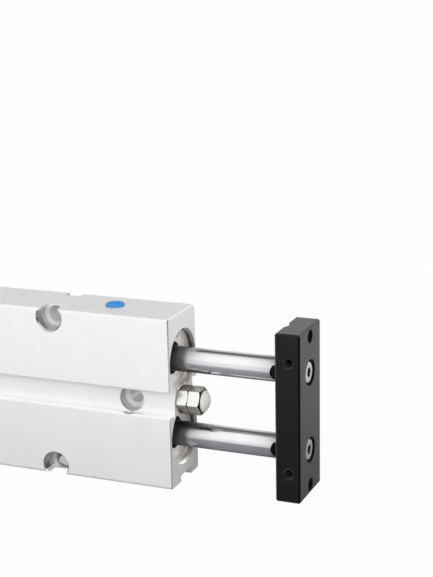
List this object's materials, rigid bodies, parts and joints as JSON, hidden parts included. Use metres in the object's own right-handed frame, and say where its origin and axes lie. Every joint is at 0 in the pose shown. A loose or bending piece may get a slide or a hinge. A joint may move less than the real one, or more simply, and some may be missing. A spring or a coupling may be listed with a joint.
{
  "type": "double-rod cylinder",
  "caption": "Flat double-rod pneumatic cylinder with parallel bores, a guided end plate and an adjustable stop between the rods.",
  "frame": {"origin": "centre of the pattern of four edge holes, at the middle of the body's thickness and height", "axes": "+X along the rods towards the end plate, +Y through the thickness away from the side with the plate's threaded holes, +Z across the two bores towards the air ports"},
  "size_m": [0.1524, 0.021, 0.0568],
  "materials": {
    "anodised_body": "clear anodised, fine satin",
    "gland_alloy": "turned aluminium",
    "piston_alloy": "turned aluminium",
    "clip_steel": "oiled spring steel",
    "rod_chrome": "hard chrome, ground and polished",
    "screw_steel": "bright zinc plated steel",
    "nickel_steel": "bright nickel plated steel",
    "bush_bronze": "sintered bronze",
    "plate_black": "black anodised aluminium, fine satin",
    "plug_blue": "moulded blue polyethylene",
    "bumper_plastic": "pale grey satin polyurethane",
    "guide_plastic": "filled wear-ring plastic",
    "seal_rubber": "black nitrile rubber",
    "wiper_rubber": "black nitrile rubber",
    "cushion_rubber": "moulded polyurethane rubber",
    "magnet_rubber": "bonded ferrite rubber"
  },
  "bodies": {
    "cylinder": {"cylinder_body": "anodised_body", "front_port_plug": "plug_blue", "rear_port_plug": "plug_blue", "upper_front_gland": "gland_alloy", "upper_rod_wiper": "wiper_rubber", "upper_rod_seal": "seal_rubber", "upper_rod_bush": "bush_bronze", "upper_front_seal_ring": "seal_rubber", "upper_front_clip": "clip_steel", "upper_rear_cap": "gland_alloy", "upper_rear_seal_ring": "seal_rubber", "upper_rear_clip": "clip_steel", "lower_front_gland": "gland_alloy", "lower_rod_wiper": "wiper_rubber", "lower_rod_seal": "seal_rubber", "lower_rod_bush": "bush_bronze", "lower_front_seal_ring": "seal_rubber", "lower_front_clip": "clip_steel", "lower_rear_cap": "gland_alloy", "lower_rear_seal_ring": "seal_rubber", "lower_rear_clip": "clip_steel"},
    "rod_unit": {"end_plate": "plate_black", "plate_screws": "screw_steel", "upper_rod": "rod_chrome", "upper_piston_front": "piston_alloy", "upper_magnet": "magnet_rubber", "upper_piston_rear": "piston_alloy", "upper_piston_seal": "seal_rubber", "upper_guide_ring": "guide_plastic", "upper_front_cushion": "cushion_rubber", "upper_rear_cushion": "cushion_rubber", "upper_piston_screw": "screw_steel", "lower_rod": "rod_chrome", "lower_piston_front": "piston_alloy", "lower_magnet": "magnet_rubber", "lower_piston_rear": "piston_alloy", "lower_piston_seal": "seal_rubber", "lower_guide_ring": "guide_plastic", "lower_front_cushion": "cushion_rubber", "lower_rear_cushion": "cushion_rubber", "lower_piston_screw": "screw_steel"},
    "lock_nut": {"lock_nut": "nickel_steel"},
    "bumper": {"stop_bumper": "bumper_plastic"},
    "stop_bolt": {"stop_bolt": "nickel_steel"}
  },
  "joints": [
    {"name": "rod_slide", "type": "slide", "parent": "cylinder", "child": "rod_unit", "axis": [1, 0, 0], "range_m": [-0.0228, 0.0255]},
    {"name": "lock_nut_turn", "type": "hinge", "parent": "cylinder", "child": "lock_nut", "pos_m": [0.0611, -0.0022, 0], "axis": [1, 0, 0], "continuous": true},
    {"name": "bolt_travel", "type": "slide", "parent": "cylinder", "child": "bumper", "axis": [1, 0, 0], "range_m": [0, 0.0016]},
    {"name": "bolt_turn", "type": "hinge", "parent": "bumper", "child": "stop_bolt", "pos_m": [0.0611, -0.0022, 0], "axis": [1, 0, 0], "range_deg": [0, 720]}
  ],
  "couplings": [
    {"joint": "bolt_turn", "follows": "bolt_travel", "rad_per_m": 7854}
  ]
}
